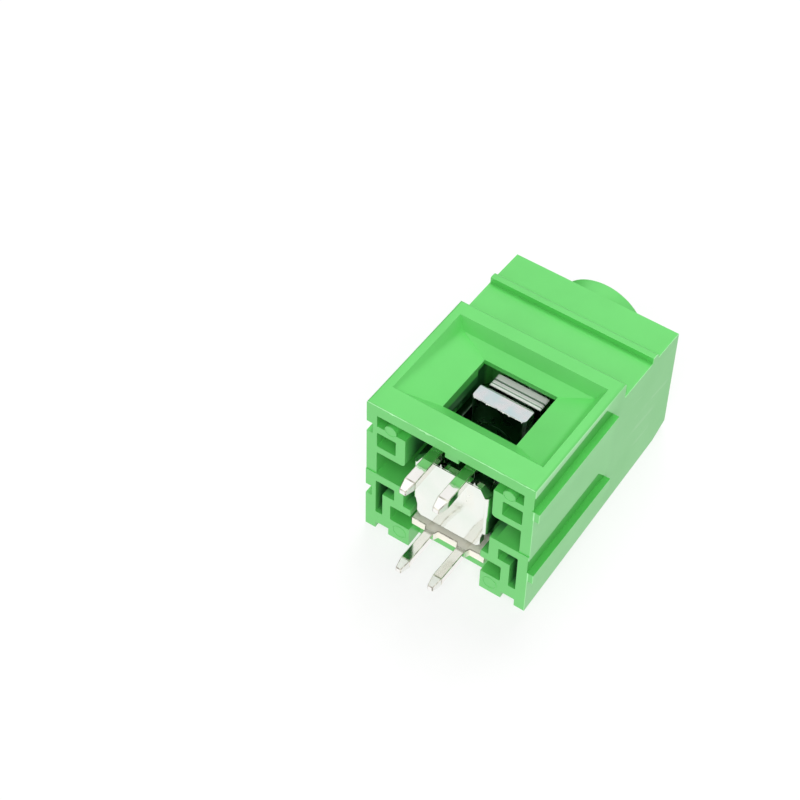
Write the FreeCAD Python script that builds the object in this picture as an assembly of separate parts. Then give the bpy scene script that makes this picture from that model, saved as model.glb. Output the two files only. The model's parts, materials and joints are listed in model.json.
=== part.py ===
import FreeCAD, Part
import math
import os

# One-pole screw terminal block for a circuit board, in millimetres.
# Lengths below are measured from the front left corner of the moulding where it meets the board:
# X runs to the right, Y from the wire entry to the back, Z up from the board.

# Outline of the moulding
WIDTH = 15.0
DEPTH = 14.8
FRAME_HEIGHT = 12.8
BODY_HEIGHT = 21.1
UPPER_SETBACK = 1.7
TOP_SETBACK = 1.85
BACK_LEAN = 1.7
BACK_CHAMFER_DROP = 1.8
BACK_CHAMFER_RUN = 0.85
EDGE_ROUND = 0.25

# Ridge across the front, flat below and round above
RIDGE_PLACE = 17.1
RIDGE_STANDOUT = 0.55
RIDGE_HEIGHT = 0.8
RIDGE_ROUND = 0.4

# Wire entry: a funnel that is deeper at its top, around a square window
FUNNEL_SIDE_MARGIN = 0.82
FUNNEL_BOTTOM = 2.25
FUNNEL_TOP = 11.45
FUNNEL_DEPTH_LOW = 0.35
FUNNEL_DEPTH_HIGH = 1.05
FUNNEL_SIDE_SLOPE = 0.68
FUNNEL_TOP_SLOPE = 0.5
FUNNEL_ROUND = 0.8
WINDOW_WIDTH = 6.6
WINDOW_BOTTOM = 4.1
WINDOW_TOP = 9.9
WINDOW_WALL = 0.45

# Screw entry: a round collar on the top face
COLLAR_RADIUS = 4.0
COLLAR_HEIGHT = 1.55
COLLAR_CHAMFER = 0.12
SCREW_DEPTH = 6.1
SCREW_BORE_RADIUS = 3.1
SCREW_ENTRY_RADIUS = 3.35
SCREW_ENTRY_DEPTH = 2.3

# Inside of the moulding, open to the board
FRONT_RIM = 1.2
SIDE_WALL = 0.95
CAVITY_WIDTH = 7.9
CAVITY_BACK = 12.45
CAVITY_HEIGHT = 12.45
FRONT_GAP_HEIGHT = 1.8
FRONT_GAP_BACK = 2.4
CHEEK_BACK = 3.5
CHEEK_HEIGHT = 9.0
POCKET_DEPTH = 8.0
POCKET_ROUND = 0.12
WEB_ROUND = 0.35
SEAT_STEP = 0.08
BACK_OPENING_HEIGHT = 1.5
BACK_OPENING_WIDTH = 6.7
CENTRE_RIB_WIDTH = 1.2
CENTRE_RIB_START = 0.4

# Side columns of the pin face, between the outer wall and the cavity: pockets with webs between them
COLUMN_WEB = 0.85
EYE_FRONT = 3.15
EYE_BACK = 4.75
WING_FRONT = 5.45
WING_BACK = 8.0
HOOK_FRONT = 8.85
HOOK_BACK = 10.15
TAIL_WIDTH = 0.65
TAIL_WEB = 0.75
OPEN_POCKET_FRONT = 11.0
COLUMN_BACK = 12.75
NOTCH_FRONT = 14.05
NOTCH_WIDTH = 1.25
NOTCH_HEIGHT = 2.0
INNER_STEP_FRONT = 10.2
INNER_STEP_CLEARANCE = 0.35
EJECTOR_RADIUS = 0.55
EJECTOR_WEB = 1.25
EJECTOR_DEPTH = 2.2
EJECTOR_HEIGHT = 1.5

# Ribs on the right side and the grooves for them on the left side
RIB_FRONTS = (2.4, 9.9)
RIB_THICKNESS = 1.0
RIB_DRAFT = 0.4
RIB_STANDOUT = 0.5
RIB_LENGTH = 11.2
RIB_CLEARANCE = 0.07
RELIEF_WIDTH = 1.5
RELIEF_DEPTH = 0.08
RELIEF_END_SLANT = 1.2

# Contact: one folded strip with four solder pins
CONTACT_THICKNESS = 0.85
CONTACT_WIDTH = 4.6
CONTACT_FRONT = 2.2
CONTACT_FLOOR = 3.0
CONTACT_BACK_WIDTH = 6.8
CONTACT_BACK_FACE = 11.52
CONTACT_BACK_BOTTOM = 0.4
FRONT_LEG_SPLIT = 1.6
BEND_INNER_RADIUS = 0.3
PIN_SPACING = 2.95
FRONT_PIN_WIDTH = 0.95
BACK_PIN_WIDTH = 0.8
FRONT_PIN_LENGTH = 3.9
BACK_PIN_LENGTH = 4.2
PIN_TAPER_LENGTH = 1.0
PIN_TIP_SHARE = 0.6
BACK_PIN_FOOT = 0.2

# Clamp cage: a folded ring with two overlapping layers at its top
CAGE_SHEET = 0.62
CAGE_WIDTH = 6.8
CAGE_BOTTOM = 0.4
CAGE_HEIGHT = 10.1
CAGE_WALL_FRONT = 4.5
CAGE_WALL_BACK = 8.8
CAGE_BEND_RADIUS = 1.25
CAGE_FOOT_RADIUS = 0.35
LAYER_GAP = 0.1
FLAP_BEND_CLEARANCE = 0.3
SOLE_FRONT = 3.72
SOLE_BACK = 10.6
SOLE_CORNER = 0.75
SOLE_TAIL_WIDTH = 5.8
SOLE_TAIL_TAPER = 0.7
SOLE_TAIL_CORNER = 0.35
LIP_FRONT = 3.2
LIP_BACK = 9.8
LIP_WIDTH = 4.7
LIP_CORNER = 0.2

# Pressure plate on the screw's end
PLATE_WIDTH = 4.85
PLATE_FRONT = 2.3
PLATE_BACK = 9.6
PLATE_THICKNESS = 1.7
PLATE_TOP_GAP = 0.76
PLATE_BOTTOM_ROUND = 0.35
PLATE_TOP_BEVEL = 0.35
PLATE_HOLE_RADIUS = 1.25
PLATE_SINK_DEPTH = 0.45

# Clamp screw
THREAD_RADIUS = 1.95
THREAD_CLEARANCE = 0.05
SCREW_HEAD_RADIUS = 2.95
SCREW_HEAD_HEIGHT = 3.0
SCREW_HEAD_GAP = 4.6
SCREW_HEAD_CHAMFER = 0.35
SLOT_WIDTH = 0.9
SLOT_DEPTH = 1.4
CROSS_RADIUS = 1.7
NECK_CLEARANCE = 0.05
RIVET_RADIUS = 1.7

# Places worked out from the sizes above
MIDDLE = WIDTH / 2
CAVITY_FRONT = UPPER_SETBACK + WINDOW_WALL
CAGE_TOP = CAGE_BOTTOM + CAGE_HEIGHT
FLAP_TOP = CAGE_TOP - CAGE_SHEET - LAYER_GAP
FLAP_BOTTOM = FLAP_TOP - CAGE_SHEET
PLATE_TOP = FLAP_BOTTOM - PLATE_TOP_GAP
PLATE_BOTTOM = PLATE_TOP - PLATE_THICKNESS
HEAD_BOTTOM = CAGE_TOP + SCREW_HEAD_GAP
FRONT_PIN_MIDDLE = CONTACT_FRONT + CONTACT_THICKNESS / 2
BACK_PIN_MIDDLE = CONTACT_BACK_FACE + CONTACT_THICKNESS / 2
ORIGIN = FreeCAD.Vector(MIDDLE, (FRONT_PIN_MIDDLE + BACK_PIN_MIDDLE) / 2, 0)


def box(x0, x1, y0, y1, z0, z1):
    return Part.makeBox(x1 - x0, y1 - y0, z1 - z0, FreeCAD.Vector(x0, y0, z0))


def cylinder(radius, x, y, z0, z1):
    return Part.makeCylinder(radius, z1 - z0, FreeCAD.Vector(x, y, z0))


def outline(points):
    """A closed flat wire through the points."""
    vectors = [FreeCAD.Vector(*point) for point in points]
    return Part.makePolygon(vectors + vectors[:1])


def prism(points, direction):
    """A straight solid swept from a flat outline."""
    return Part.Face(outline(points)).extrude(FreeCAD.Vector(*direction))


def frustum(wires):
    """A solid with flat or ruled sides between outlines."""
    return Part.makeLoft(wires, True, True)


def round_edges(solid, radius, chosen):
    """The solid with the chosen edges rounded."""
    edges = [edge for edge in solid.Edges if chosen(edge)]
    return solid.makeFillet(radius, edges)


def is_upright(edge):
    """Whether an edge is straight and runs along Z."""
    ends = edge.BoundBox
    return ends.XLength < 1e-6 and ends.YLength < 1e-6


def rounded_post(x0, x1, y0, y1, z0, z1, radius):
    """A block whose four upright corners are round."""
    return round_edges(box(x0, x1, y0, y1, z0, z1), radius, is_upright)


def both_sides(shape):
    """A shape and its mirror image about the moulding's middle plane."""
    mirrored = shape.mirror(FreeCAD.Vector(MIDDLE, 0, 0), FreeCAD.Vector(1, 0, 0))
    return [shape, mirrored]


def body_block():
    """The moulding's side outline with its leaning back, swept across the width."""
    chamfer_start = BODY_HEIGHT - BACK_CHAMFER_DROP
    chamfer_depth = DEPTH - BACK_LEAN
    points = [
        (0, 0, 0),
        (0, DEPTH, 0),
        (0, chamfer_depth, chamfer_start),
        (0, chamfer_depth - BACK_CHAMFER_RUN, BODY_HEIGHT),
        (0, TOP_SETBACK, BODY_HEIGHT),
        (0, UPPER_SETBACK, RIDGE_PLACE),
        (0, UPPER_SETBACK, FRAME_HEIGHT),
        (0, 0, FRAME_HEIGHT),
    ]
    block = prism(points, (WIDTH, 0, 0))

    def outer_front(edge):
        place = edge.BoundBox
        flat_front = place.YMax < 1e-6
        return flat_front and (is_upright(edge) or place.ZMin > FRAME_HEIGHT - 1e-6)

    return round_edges(block, EDGE_ROUND, outer_front)


def front_ridge():
    """The ridge across the front above the frame."""
    nose = UPPER_SETBACK - RIDGE_STANDOUT
    top = RIDGE_PLACE + RIDGE_HEIGHT
    ridge = box(0, WIDTH, nose, TOP_SETBACK + 0.2, RIDGE_PLACE, top)

    def upper_nose(edge):
        place = edge.BoundBox
        return place.XLength > 1 and place.YMax < nose + 1e-6 and place.ZMin > top - 1e-6

    return round_edges(ridge, RIDGE_ROUND, upper_nose)


def collar():
    """The round collar that guides a screwdriver to the screw."""
    top = BODY_HEIGHT + COLLAR_HEIGHT
    ring = cylinder(COLLAR_RADIUS, MIDDLE, SCREW_DEPTH, BODY_HEIGHT - 1, top)
    rim = [edge for edge in ring.Edges if edge.BoundBox.ZMin > top - 1e-6]
    return ring.makeChamfer(COLLAR_CHAMFER, rim)


def funnel_outline(depth_low, depth_high):
    """The four corners of the funnel's steep walls at a depth below and a depth above."""
    rim = MIDDLE - FUNNEL_SIDE_MARGIN
    half_low = rim - FUNNEL_SIDE_SLOPE * depth_low
    half_high = rim - FUNNEL_SIDE_SLOPE * depth_high
    low = FUNNEL_BOTTOM + FUNNEL_TOP_SLOPE * depth_low
    high = FUNNEL_TOP - FUNNEL_TOP_SLOPE * depth_high
    return outline([
        (MIDDLE - half_low, depth_low, low),
        (MIDDLE + half_low, depth_low, low),
        (MIDDLE + half_high, depth_high, high),
        (MIDDLE - half_high, depth_high, high),
    ])


def wire_funnel():
    """The steep walls of the wire entry, the shallow slopes to its window, and the window."""
    half = WINDOW_WIDTH / 2
    mouth = outline([
        (MIDDLE - half, UPPER_SETBACK, WINDOW_BOTTOM),
        (MIDDLE + half, UPPER_SETBACK, WINDOW_BOTTOM),
        (MIDDLE + half, UPPER_SETBACK, WINDOW_TOP),
        (MIDDLE - half, UPPER_SETBACK, WINDOW_TOP),
    ])
    foot = funnel_outline(FUNNEL_DEPTH_LOW, FUNNEL_DEPTH_HIGH)
    steep = frustum([funnel_outline(-1, -1), foot])
    shallow = frustum([foot, mouth])
    window = box(MIDDLE - half, MIDDLE + half, UPPER_SETBACK - 0.1, CAVITY_FRONT + 0.1,
                 WINDOW_BOTTOM, WINDOW_TOP)
    funnel = steep.fuse([shallow, window]).removeSplitter()

    def side_foot(edge):
        ends = edge.BoundBox
        steep_part = ends.YMin > FUNNEL_DEPTH_LOW - 0.01 and ends.YMax < FUNNEL_DEPTH_HIGH + 0.01
        return steep_part and ends.ZLength > WINDOW_TOP - WINDOW_BOTTOM

    return round_edges(funnel, FUNNEL_ROUND, side_foot)


def clamp_cavity():
    """The room for the clamp, the gap behind the front rim and the opening in the back wall."""
    half = CAVITY_WIDTH / 2
    main = box(MIDDLE - half, MIDDLE + half, CAVITY_FRONT, CAVITY_BACK, -1, CAVITY_HEIGHT)
    cheek = box(MIDDLE - half - 1, MIDDLE - WINDOW_WIDTH / 2, CAVITY_FRONT, CHEEK_BACK,
                FRONT_GAP_HEIGHT, CHEEK_HEIGHT)
    for side in both_sides(cheek):
        main = main.cut(side)
    gap = box(SIDE_WALL, WIDTH - SIDE_WALL, FRONT_RIM, FRONT_GAP_BACK, -1, FRONT_GAP_HEIGHT)
    back = box(MIDDLE - BACK_OPENING_WIDTH / 2, MIDDLE + BACK_OPENING_WIDTH / 2, CAVITY_BACK - 0.1, DEPTH + 1,
               -1, BACK_OPENING_HEIGHT)
    step = box(-1, WIDTH + 1, -1, WING_BACK, -1, SEAT_STEP)
    return [main, gap, back, step]


def web_corner(x, y):
    """What a round web corner takes off a column beside the cavity, in front of a pocket."""
    block = box(x - WEB_ROUND, x + POCKET_ROUND, y - WEB_ROUND, y + POCKET_ROUND, -1, POCKET_DEPTH)
    return block.cut(cylinder(WEB_ROUND, x - WEB_ROUND, y - WEB_ROUND, -1, POCKET_DEPTH))


def column_pockets():
    """The pockets that core out the two side columns of the pin face."""
    pockets = []
    side = MIDDLE - CAVITY_WIDTH / 2
    web = side - COLUMN_WEB
    tail = SIDE_WALL + TAIL_WIDTH
    open_side = MIDDLE - BACK_OPENING_WIDTH / 2
    outlines = (
        (SIDE_WALL, web, EYE_FRONT, EYE_BACK),
        (SIDE_WALL, side + POCKET_ROUND, WING_FRONT, WING_BACK),
        (SIDE_WALL, web, HOOK_FRONT, HOOK_BACK),
        (SIDE_WALL, tail, HOOK_FRONT, COLUMN_BACK),
        (tail + TAIL_WEB, open_side + POCKET_ROUND, OPEN_POCKET_FRONT, COLUMN_BACK),
    )
    for x0, x1, y0, y1 in outlines:
        pockets += both_sides(rounded_post(x0, x1, y0, y1, -1, POCKET_DEPTH, POCKET_ROUND))
    pockets += both_sides(web_corner(side, WING_FRONT))
    pockets += both_sides(box(SIDE_WALL, SIDE_WALL + NOTCH_WIDTH, NOTCH_FRONT, DEPTH + 1, -1, NOTCH_HEIGHT))
    return pockets


def column_webs():
    """What stands in the openings again: ejector posts, inner steps and the rib between the front pins."""
    post = cylinder(EJECTOR_RADIUS, SIDE_WALL + EJECTOR_WEB, EJECTOR_DEPTH, SEAT_STEP, EJECTOR_HEIGHT)
    webs = both_sides(post)
    side = MIDDLE - CAVITY_WIDTH / 2
    inner = MIDDLE - SOLE_TAIL_WIDTH / 2 - INNER_STEP_CLEARANCE
    webs += both_sides(rounded_post(side - COLUMN_WEB, inner, INNER_STEP_FRONT, OPEN_POCKET_FRONT,
                                    0, POCKET_DEPTH + 1, POCKET_ROUND))
    half = CENTRE_RIB_WIDTH / 2
    rib = box(MIDDLE - half, MIDDLE + half, FRONT_RIM - 0.1, CAVITY_FRONT, CENTRE_RIB_START, FRONT_GAP_HEIGHT)
    return webs + [rib]


def along_rib(front, back, length):
    """A flat outline between two distances from the front that both lean forward by the ribs' draft."""
    lean = RIB_DRAFT * length / RIB_LENGTH
    return [(front, 0), (back, 0), (back - lean, length), (front - lean, length)]


def side_slab(x0, x1, points):
    """A slab between two X places whose outline is given as distances from the front and the board."""
    return prism([(x0, y, z) for y, z in points], (x1 - x0, 0, 0))


def side_grooves():
    """Grooves on the left side that take the ribs of the next block in a row."""
    depth = RIB_STANDOUT + RIB_CLEARANCE
    grooves = []
    for front in RIB_FRONTS:
        back = front + RIB_THICKNESS + RIB_CLEARANCE
        points = along_rib(front - RIB_CLEARANCE, back, RIB_LENGTH + RIB_CLEARANCE)
        grooves.append(side_slab(-1, depth, points))
    return grooves


def rib_relief(front):
    """The shallow relief in front of a rib, with a slanting end."""
    points = along_rib(front - RELIEF_WIDTH, front, RIB_LENGTH)
    corner_y, corner_z = points[-1]
    points[-1] = (corner_y, corner_z - RELIEF_END_SLANT)
    return side_slab(WIDTH - RELIEF_DEPTH, WIDTH + 1, points)


def side_rib(front):
    """A rib that slides into the next block's groove."""
    points = along_rib(front, front + RIB_THICKNESS, RIB_LENGTH)
    return side_slab(WIDTH - RELIEF_DEPTH - 0.1, WIDTH + RIB_STANDOUT, points)


def housing():
    """The moulded housing, one piece."""
    body = body_block().fuse([front_ridge(), collar()])
    top = BODY_HEIGHT + COLLAR_HEIGHT
    bore = cylinder(SCREW_BORE_RADIUS, MIDDLE, SCREW_DEPTH, CAVITY_HEIGHT - 0.1, top)
    entry = cylinder(SCREW_ENTRY_RADIUS, MIDDLE, SCREW_DEPTH, top - SCREW_ENTRY_DEPTH, top + 1)
    cuts = [bore, entry, wire_funnel()] + clamp_cavity() + column_pockets() + side_grooves()
    cuts += [rib_relief(front) for front in RIB_FRONTS]
    body = body.cut(cuts)
    body = body.fuse(column_webs() + [side_rib(front) for front in RIB_FRONTS])
    return body.removeSplitter()


def pin_profile(half, top, length):
    """A pin's outline across one of its two directions, with a tapered tip."""
    tip = half * PIN_TIP_SHARE
    shoulder = PIN_TAPER_LENGTH - length
    return [(-half, top), (-half, shoulder), (-tip, -length), (tip, -length), (half, shoulder), (half, top)]


def solder_pin(x, y, width, length, top):
    """A flat pin whose tip tapers on all four sides."""
    half = width / 2
    depth = CONTACT_THICKNESS / 2
    face = [(x + across, y - depth, z) for across, z in pin_profile(half, top, length)]
    side = [(x - half, y + across, z) for across, z in pin_profile(depth, top, length)]
    return prism(face, (0, CONTACT_THICKNESS, 0)).common(prism(side, (width, 0, 0)))


def pin_foot(x, y, width, top):
    """The widening where a back pin leaves the plate."""
    half = width / 2
    front = y - CONTACT_THICKNESS / 2
    points = [
        (x - half - BACK_PIN_FOOT, front, top),
        (x - half, front, top - 2 * BACK_PIN_FOOT),
        (x + half, front, top - 2 * BACK_PIN_FOOT),
        (x + half + BACK_PIN_FOOT, front, top),
    ]
    return prism(points, (0, CONTACT_THICKNESS, 0))


def contact():
    """The folded contact strip: a floor under the wire, a front wall, a back wall and four solder pins."""
    half = CONTACT_WIDTH / 2
    back_half = CONTACT_BACK_WIDTH / 2
    top = CONTACT_FLOOR + CONTACT_THICKNESS
    back = CONTACT_BACK_FACE + CONTACT_THICKNESS
    outer = box(MIDDLE - half, MIDDLE + half, CONTACT_FRONT, back, CONTACT_BACK_BOTTOM, top)
    inner = box(MIDDLE - half - 1, MIDDLE + half + 1, CONTACT_FRONT + CONTACT_THICKNESS, CONTACT_BACK_FACE,
                CONTACT_BACK_BOTTOM - 1, CONTACT_FLOOR)

    def bend(height):
        def chosen(edge):
            place = edge.BoundBox
            return place.XLength > 1 and place.ZLength < 1e-6 and abs(place.ZMin - height) < 1e-6
        return chosen

    outer = round_edges(outer, BEND_INNER_RADIUS + CONTACT_THICKNESS, bend(top))
    inner = round_edges(inner, BEND_INNER_RADIUS, bend(CONTACT_FLOOR))
    strip = outer.cut(inner)
    leg_back = CONTACT_FRONT + CONTACT_THICKNESS
    strip = strip.cut(box(0, WIDTH, CONTACT_FRONT - 1, leg_back + 0.5, 0, FRONT_LEG_SPLIT))
    wall_top = CONTACT_FLOOR - BEND_INNER_RADIUS
    wall = box(MIDDLE - back_half, MIDDLE + back_half, CONTACT_BACK_FACE, back, CONTACT_BACK_BOTTOM, wall_top)
    pins = []
    front_top = FRONT_LEG_SPLIT + 0.2
    back_top = CONTACT_BACK_BOTTOM + 0.2
    for side in (-1, 1):
        x = MIDDLE + side * PIN_SPACING / 2
        pins.append(solder_pin(x, FRONT_PIN_MIDDLE, FRONT_PIN_WIDTH, FRONT_PIN_LENGTH, front_top))
        pins.append(solder_pin(x, BACK_PIN_MIDDLE, BACK_PIN_WIDTH, BACK_PIN_LENGTH, back_top))
        pins.append(pin_foot(x, BACK_PIN_MIDDLE, BACK_PIN_WIDTH, CONTACT_BACK_BOTTOM))
    return strip.fuse([wall] + pins).removeSplitter()


def cage_ring():
    """The folded ring of the cage, with wide bends at its top and tight ones at its bottom."""
    half = CAGE_WIDTH / 2
    inner_half = half - CAGE_SHEET
    middle = (CAGE_BOTTOM + CAGE_TOP) / 2

    def along_y(edge):
        ends = edge.BoundBox
        return ends.XLength < 1e-6 and ends.ZLength < 1e-6

    def upper(edge):
        return along_y(edge) and edge.BoundBox.ZMin > middle

    def lower(edge):
        return along_y(edge) and edge.BoundBox.ZMin < middle

    outer = box(MIDDLE - half, MIDDLE + half, CAGE_WALL_FRONT, CAGE_WALL_BACK, CAGE_BOTTOM, CAGE_TOP)
    inner = box(MIDDLE - inner_half, MIDDLE + inner_half, CAGE_WALL_FRONT - 1, CAGE_WALL_BACK + 1,
                CAGE_BOTTOM + CAGE_SHEET, CAGE_TOP - CAGE_SHEET)
    outer = round_edges(outer, CAGE_BEND_RADIUS, upper)
    outer = round_edges(outer, CAGE_FOOT_RADIUS, lower)
    inner = round_edges(inner, CAGE_BEND_RADIUS - CAGE_SHEET, upper)
    return outer.cut(inner)


def cage_sole():
    """The cage's bottom plate, longer than its walls, with cut front corners and a narrower tail."""
    half = CAGE_WIDTH / 2
    inner = half - CAGE_FOOT_RADIUS
    tail = SOLE_TAIL_WIDTH / 2
    taper_end = CAGE_WALL_BACK + SOLE_TAIL_TAPER
    right = [
        (half - SOLE_CORNER, SOLE_FRONT),
        (half, SOLE_FRONT + SOLE_CORNER),
        (half, CAGE_WALL_FRONT),
        (inner, CAGE_WALL_FRONT),
        (inner, CAGE_WALL_BACK),
        (half, CAGE_WALL_BACK),
        (tail, taper_end),
        (tail, SOLE_BACK - SOLE_TAIL_CORNER),
        (tail - SOLE_TAIL_CORNER, SOLE_BACK),
    ]
    points = [(MIDDLE + x, y, CAGE_BOTTOM) for x, y in right]
    points += [(MIDDLE - x, y, CAGE_BOTTOM) for x, y in reversed(right)]
    return prism(points, (0, 0, CAGE_SHEET))


def cage_lip(bottom):
    """One layer of the cage's top, longer than its walls."""
    half = LIP_WIDTH / 2
    return rounded_post(MIDDLE - half, MIDDLE + half, LIP_FRONT, LIP_BACK,
                        bottom, bottom + CAGE_SHEET, LIP_CORNER)


def clamp_cage():
    """The clamp cage: ring, sole, top layer and the second layer folded under it, tapped for the screw."""
    inner_half = CAGE_WIDTH / 2 - CAGE_SHEET
    flap = box(MIDDLE - inner_half + FLAP_BEND_CLEARANCE, MIDDLE + inner_half + CAGE_SHEET / 2,
               CAGE_WALL_FRONT, CAGE_WALL_BACK, FLAP_BOTTOM, FLAP_TOP)
    cage = cage_ring().fuse([cage_sole(), flap, cage_lip(FLAP_BOTTOM), cage_lip(CAGE_TOP - CAGE_SHEET)])
    hole = cylinder(THREAD_RADIUS + THREAD_CLEARANCE, MIDDLE, SCREW_DEPTH, FLAP_BOTTOM - 1, CAGE_TOP + 1)
    return cage.cut(hole).removeSplitter()


def pressure_plate():
    """The plate that the screw presses onto the wire, countersunk below for the screw's riveted end."""
    half = PLATE_WIDTH / 2
    plate = box(MIDDLE - half, MIDDLE + half, PLATE_FRONT, PLATE_BACK, PLATE_BOTTOM, PLATE_TOP)

    def lower_long_edge(edge):
        ends = edge.BoundBox
        return ends.XLength < 1e-6 and ends.ZMax < PLATE_BOTTOM + 1e-6

    plate = round_edges(plate, PLATE_BOTTOM_ROUND, lower_long_edge)
    rim = [edge for edge in plate.Edges if edge.BoundBox.ZMin > PLATE_TOP - 1e-6]
    plate = plate.makeChamfer(PLATE_TOP_BEVEL, rim)
    hole = cylinder(PLATE_HOLE_RADIUS, MIDDLE, SCREW_DEPTH, PLATE_BOTTOM - 1, PLATE_TOP + 1)
    sink = Part.makeCone(RIVET_RADIUS, PLATE_HOLE_RADIUS, PLATE_SINK_DEPTH,
                         FreeCAD.Vector(MIDDLE, SCREW_DEPTH, PLATE_BOTTOM))
    return plate.cut([hole, sink])


def clamp_screw():
    """The clamp screw: slotted head, shank, and a neck riveted flush into the pressure plate."""
    head_top = HEAD_BOTTOM + SCREW_HEAD_HEIGHT
    head = cylinder(SCREW_HEAD_RADIUS, MIDDLE, SCREW_DEPTH, HEAD_BOTTOM, head_top)
    rim = [edge for edge in head.Edges if edge.BoundBox.ZMin > head_top - 1e-6]
    head = head.makeChamfer(SCREW_HEAD_CHAMFER, rim)
    half = SLOT_WIDTH / 2
    reach = SCREW_HEAD_RADIUS + 1
    slot = box(MIDDLE - reach, MIDDLE + reach, SCREW_DEPTH - half, SCREW_DEPTH + half,
               head_top - SLOT_DEPTH, head_top + 1)
    cross = box(MIDDLE - half, MIDDLE + half, SCREW_DEPTH - CROSS_RADIUS, SCREW_DEPTH + CROSS_RADIUS,
                head_top - SLOT_DEPTH, head_top + 1)
    head = head.cut([slot, cross])
    shoulder = PLATE_TOP + NECK_CLEARANCE
    shank = cylinder(THREAD_RADIUS, MIDDLE, SCREW_DEPTH, shoulder, HEAD_BOTTOM)
    neck_radius = PLATE_HOLE_RADIUS - NECK_CLEARANCE
    neck = cylinder(neck_radius, MIDDLE, SCREW_DEPTH, PLATE_BOTTOM, shoulder)
    rivet = Part.makeCone(RIVET_RADIUS - NECK_CLEARANCE, neck_radius, PLATE_SINK_DEPTH - NECK_CLEARANCE,
                          FreeCAD.Vector(MIDDLE, SCREW_DEPTH, PLATE_BOTTOM))
    return head.fuse([shank, neck, rivet]).removeSplitter()


PIECES = {
    "housing": housing,
    "contact": contact,
    "clamp_cage": clamp_cage,
    "pressure_plate": pressure_plate,
    "clamp_screw": clamp_screw,
}

os.makedirs("parts", exist_ok=True)
for name, make in PIECES.items():
    shape = make()
    shape.translate(-ORIGIN)
    if len(shape.Solids) == 1:
        shape = shape.Solids[0]
    print(name, "solids", len(shape.Solids), "valid", shape.isValid(), "volume", round(shape.Volume, 2))
    shape.exportStep(os.path.join("parts", name + ".step"))
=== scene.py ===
import json
import math

import bmesh
import bpy
from mathutils import Matrix, Vector, noise as hash_noise

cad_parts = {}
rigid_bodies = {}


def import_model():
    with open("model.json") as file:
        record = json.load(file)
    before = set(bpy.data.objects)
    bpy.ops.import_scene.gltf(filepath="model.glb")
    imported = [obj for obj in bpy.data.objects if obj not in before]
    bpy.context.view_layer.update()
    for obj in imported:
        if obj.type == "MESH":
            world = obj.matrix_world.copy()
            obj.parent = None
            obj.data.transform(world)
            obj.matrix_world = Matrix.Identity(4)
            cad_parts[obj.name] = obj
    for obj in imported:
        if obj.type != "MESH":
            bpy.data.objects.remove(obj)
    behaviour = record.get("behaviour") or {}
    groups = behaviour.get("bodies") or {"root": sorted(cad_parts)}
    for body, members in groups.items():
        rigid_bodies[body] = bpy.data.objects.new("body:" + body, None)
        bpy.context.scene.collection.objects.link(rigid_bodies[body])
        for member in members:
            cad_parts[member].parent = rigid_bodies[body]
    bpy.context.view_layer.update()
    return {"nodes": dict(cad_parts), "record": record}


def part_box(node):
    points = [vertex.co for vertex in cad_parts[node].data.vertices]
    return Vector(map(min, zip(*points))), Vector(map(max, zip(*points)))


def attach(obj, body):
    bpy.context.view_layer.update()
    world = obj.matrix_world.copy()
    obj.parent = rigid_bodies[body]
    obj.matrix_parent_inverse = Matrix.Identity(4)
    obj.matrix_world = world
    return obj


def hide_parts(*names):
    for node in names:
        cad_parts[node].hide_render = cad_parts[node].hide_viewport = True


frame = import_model()

MM = 0.001

# The camera of the photograph, in millimetres of the row frame
CAMERA_PLACE = Vector((51.26, -125.72, -83.44)) * MM
CAMERA_FORWARD = Vector((-0.36275, 0.75723, 0.54316))
CAMERA_UP = Vector((-0.43988, -0.65297, 0.61654))
FOCAL_PIXELS = 2096.5
PICTURE_PIXELS = 800
SENSOR_WIDTH = 36.0
CLIP_START = 0.005

# Soft lamps: name, place and size in metres, and how bright they make a white face turned to them
LAMPS = (
    ("key", (-0.05, -0.40, 0.18), 0.20, 0.48),
    ("fill", (0.15, -0.36, -0.24), 0.28, 0.44),
    ("behind", (-0.25, 0.30, 0.30), 0.30, 0.40),
)

# The studio round the block: where its white table and its dark flag are, how near a ray has to point to
# the flag for it to be full and to end, and how bright each part is
TABLE_WAY = (0.0, 0.5, -0.86)
DARK_WAY = (-0.8, 0.3, 0.52)
DARK_REACH = (0.90, 0.70)
ROOM_LEVEL = 0.36
TABLE_LEVEL = 0.80
DARK_LEVEL = 0.10

# The floor under the leaning back of the moulding, in millimetres, and its share of plain white
FLOOR_REACH = 600
FLOOR_GAP = 0.02
BACK_LEAN = 1.7
BACK_HEIGHT = 19.2
FLOOR_GLOW = 0.72

# Colours of the moulding
GREEN = (0.118, 0.620, 0.124, 1)
DEEP_GREEN = (0.104, 0.585, 0.109, 1)
# Painted highlight: pale greens for the rounded edges and the side's front strip
HIGHLIGHT_GREEN = (0.430, 0.930, 0.440, 1)
EDGE_SHEEN_GREEN = (0.200, 0.720, 0.210, 1)
POLISHED_GREEN = (0.095, 0.530, 0.098, 1)
FROSTED_GREEN = (0.370, 0.880, 0.380, 1)
FROSTED_DEEP = (0.325, 0.800, 0.335, 1)
SCUFF_GREEN = (0.560, 0.930, 0.560, 1)
# Painted shade: the dark green painted inside the wire channel and the hook pockets
CHANNEL_SHADE_GREEN = (0.035, 0.200, 0.055, 1)

# Colours of the metal and of the floor
TIN = (0.940, 0.930, 0.900, 1)
TIN_SHADE = (0.860, 0.840, 0.800, 1)
TIN_DULL = (1.000, 0.970, 0.850, 1)
TIN_BROWN = (0.600, 0.540, 0.390, 1)
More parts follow.
